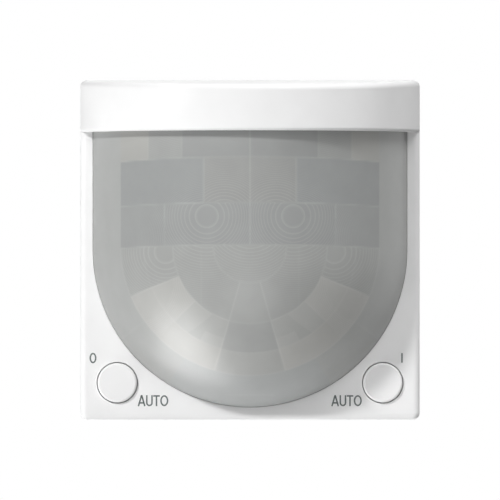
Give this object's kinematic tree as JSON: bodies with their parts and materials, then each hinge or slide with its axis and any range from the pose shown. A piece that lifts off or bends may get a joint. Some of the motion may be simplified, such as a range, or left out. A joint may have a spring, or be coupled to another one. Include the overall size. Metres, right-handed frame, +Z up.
{
  "type": "motion detector",
  "caption": "Square plug-on wall motion detector with a domed segmented lens under a curved hood, two push buttons, rear plug and rear adjusters.",
  "frame": {"origin": "middle of the cover's rear rim, in the plane where it seats on the wall's mounting ring", "axes": "+Z up the wall, +Y into the wall, -Y towards the room, +X to the right seen from the room"},
  "size_m": [0.055, 0.046, 0.055],
  "materials": {
    "cover": "gloss",
    "lens": "satin, translucent",
    "black_plastic": "matte",
    "white_plastic": "satin",
    "holder_plastic": "matte",
    "rear_plastic": "matte",
    "board": "satin",
    "chip_plastic": "matte",
    "blue_plastic": "satin",
    "ceramic": "matte",
    "clear_epoxy": "gloss",
    "red_epoxy": "gloss",
    "dark_glass": "polished",
    "steel_can": "satin",
    "tinned_metal": "satin",
    "aluminium_can": "brushed",
    "pin_metal": "plated"
  },
  "bodies": {
    "housing": {"brightness_adjuster": "blue_plastic", "brightness_leads": "tinned_metal", "chip_capacitors": "ceramic", "chip_resistors": "chip_plastic", "crystal": "steel_can", "delay_adjuster": "blue_plastic", "delay_leads": "tinned_metal", "front_cover": "cover", "indicator_lamp": "red_epoxy", "left_capacitor_can": "aluminium_can", "left_capacitor_foot": "black_plastic", "left_sensor_can": "steel_can", "left_sensor_carrier": "ceramic", "left_sensor_elements": "tinned_metal", "left_sensor_filter": "dark_glass", "left_sensor_header": "steel_can", "left_sensor_leads": "pin_metal", "left_switch_base": "black_plastic", "left_switch_feet": "tinned_metal", "left_switch_frame": "steel_can", "lens": "lens", "lens_carrier": "black_plastic", "light_sensor": "clear_epoxy", "main_board": "board", "microcontroller": "chip_plastic", "microcontroller_leads": "tinned_metal", "plug_block": "black_plastic", "plug_pins": "pin_metal", "rear_housing": "rear_plastic", "right_capacitor_can": "aluminium_can", "right_capacitor_foot": "black_plastic", "right_sensor_can": "steel_can", "right_sensor_carrier": "ceramic", "right_sensor_elements": "tinned_metal", "right_sensor_filter": "dark_glass", "right_sensor_header": "steel_can", "right_sensor_leads": "pin_metal", "right_switch_base": "black_plastic", "right_switch_feet": "tinned_metal", "right_switch_frame": "steel_can", "sensitivity_adjuster": "blue_plastic", "sensitivity_leads": "tinned_metal", "sensor_holder": "holder_plastic", "voltage_regulator": "chip_plastic"},
    "left_button": {"left_button": "cover", "left_switch_plunger": "white_plastic"},
    "right_button": {"right_button": "cover", "right_switch_plunger": "white_plastic"},
    "sensitivity_dial": {"sensitivity_dial": "white_plastic"},
    "brightness_dial": {"brightness_dial": "white_plastic"},
    "delay_dial": {"delay_dial": "white_plastic"}
  },
  "joints": [
    {"name": "left_button_press", "type": "slide", "parent": "housing", "child": "left_button", "axis": [0, 1, 0], "range_m": [0, 0.0005], "stiffness_N_per_m": 3000},
    {"name": "right_button_press", "type": "slide", "parent": "housing", "child": "right_button", "axis": [0, 1, 0], "range_m": [0, 0.0005], "stiffness_N_per_m": 3000},
    {"name": "sensitivity_turn", "type": "hinge", "parent": "housing", "child": "sensitivity_dial", "pos_m": [-0.012, 0.002, -0.013], "axis": [0, 1, 0], "range_deg": [-135, 135]},
    {"name": "brightness_turn", "type": "hinge", "parent": "housing", "child": "brightness_dial", "pos_m": [0, 0.002, -0.013], "axis": [0, 1, 0], "range_deg": [-135, 135]},
    {"name": "delay_turn", "type": "hinge", "parent": "housing", "child": "delay_dial", "pos_m": [0.012, 0.002, -0.013], "axis": [0, 1, 0], "range_deg": [-135, 135]}
  ]
}
